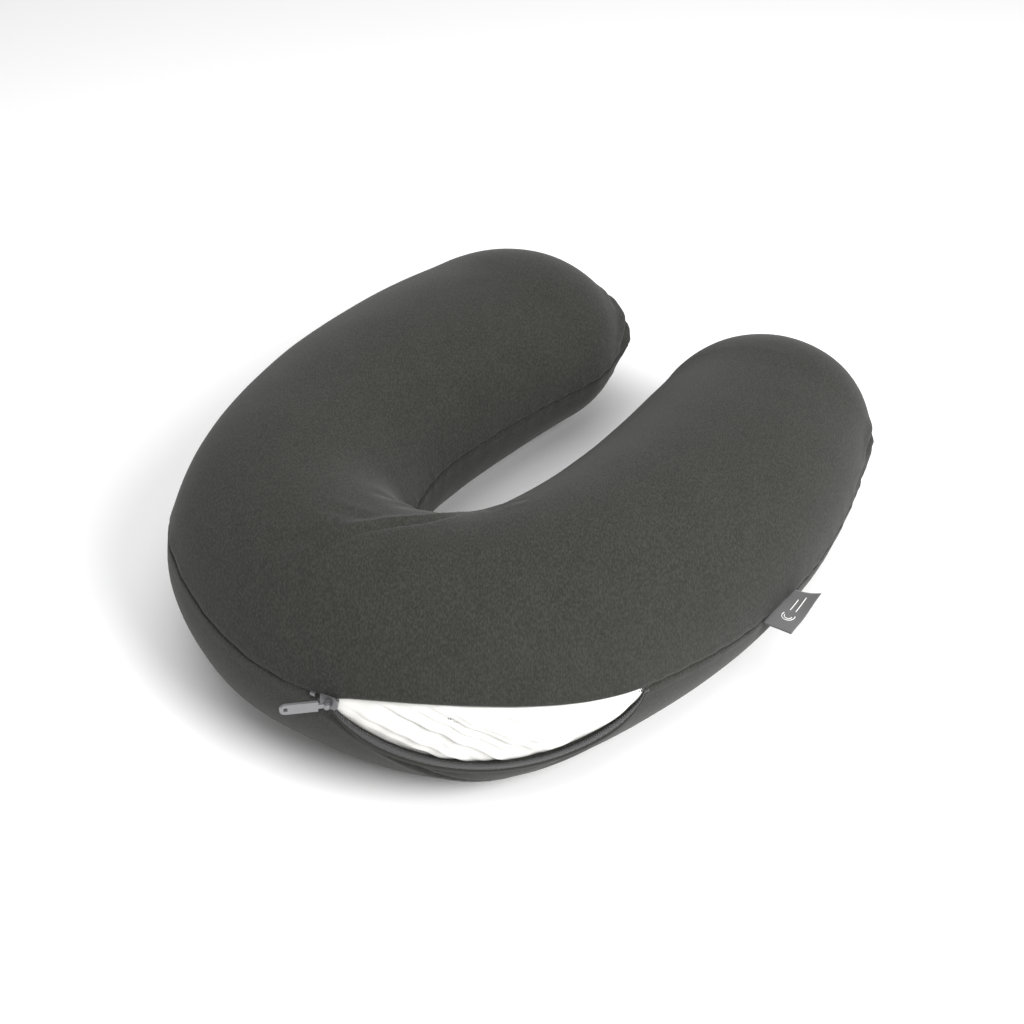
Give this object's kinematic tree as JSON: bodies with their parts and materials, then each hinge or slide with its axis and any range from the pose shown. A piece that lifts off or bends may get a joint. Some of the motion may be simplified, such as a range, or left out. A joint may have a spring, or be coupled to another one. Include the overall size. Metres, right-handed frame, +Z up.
{
  "type": "nursing pillow",
  "caption": "Crescent nursing pillow: a zipped jersey cover, part open, over a white inner casing filled with beads.",
  "frame": {"origin": "on the resting plane, below the middle of the whole pillow's box", "axes": "+Z up; +Y from the round back towards the open arm tips; +X towards the arm with the side label"},
  "size_m": [0.4358, 0.5276, 0.161],
  "materials": {
    "jersey": "charcoal heathered cotton jersey",
    "casing": "fine white woven cotton",
    "beads": "white expanded polystyrene beads",
    "zip_tape": "dark grey woven tape",
    "zip_coil": "dark grey nylon coil",
    "zip_metal": "dark enamelled die casting",
    "pull": "grey enamel",
    "label": "grey woven label",
    "care_label": "white satin ribbon"
  },
  "bodies": {
    "back": {"cover_top_back": "jersey", "cover_bottom_back": "jersey", "casing_top_back": "casing", "casing_bottom_back": "casing", "bead_fill_back": "beads", "zip_tape_upper": "zip_tape", "zip_tape_lower": "zip_tape", "zip_coil_upper": "zip_coil", "zip_coil_lower": "zip_coil", "zip_bottom_stop": "zip_metal", "zip_top_stop_upper": "zip_metal", "zip_top_stop_lower": "zip_metal", "care_label": "care_label"},
    "right_arm": {"cover_top_right_arm": "jersey", "cover_bottom_right_arm": "jersey", "casing_top_right_arm": "casing", "casing_bottom_right_arm": "casing", "bead_fill_right_arm": "beads"},
    "left_arm": {"cover_top_left_arm": "jersey", "cover_bottom_left_arm": "jersey", "casing_top_left_arm": "casing", "casing_bottom_left_arm": "casing", "bead_fill_left_arm": "beads"},
    "slider": {"zip_slider": "zip_metal", "zip_pull_pin": "zip_metal"},
    "pull": {"zip_pull_tab": "pull"},
    "label": {"side_label": "label"}
  },
  "joints": [
    {"name": "right_arm_spread", "type": "hinge", "parent": "back", "child": "right_arm", "pos_m": [0.16294, -0.11096, 0.0779], "axis": [0, 0, -1], "range_deg": [0, 18]},
    {"name": "left_arm_spread", "type": "hinge", "parent": "back", "child": "left_arm", "pos_m": [-0.19319, -0.11069, 0.0779], "axis": [0, 0, 1], "range_deg": [0, 18]},
    {"name": "slider_travel", "type": "hinge", "parent": "back", "child": "slider", "pos_m": [-0.0152, -0.0598, 0.07802], "axis": [0.0346, 0.095, 0.9949], "range_deg": [0, 55.5], "deforming": ["zip_tape_upper", "zip_tape_lower", "zip_coil_upper", "zip_coil_lower"]},
    {"name": "pull_swing", "type": "hinge", "parent": "slider", "child": "pull", "pos_m": [0.01775, -0.24426, 0.09448], "axis": [0.0346, 0.095, 0.9949], "range_deg": [-30, 110]},
    {"name": "label_flip", "type": "hinge", "parent": "right_arm", "child": "label", "pos_m": [0.19685, 0.00812, 0.06425], "axis": [0.0532, 0.9986, 0], "range_deg": [-55, 70]}
  ]
}
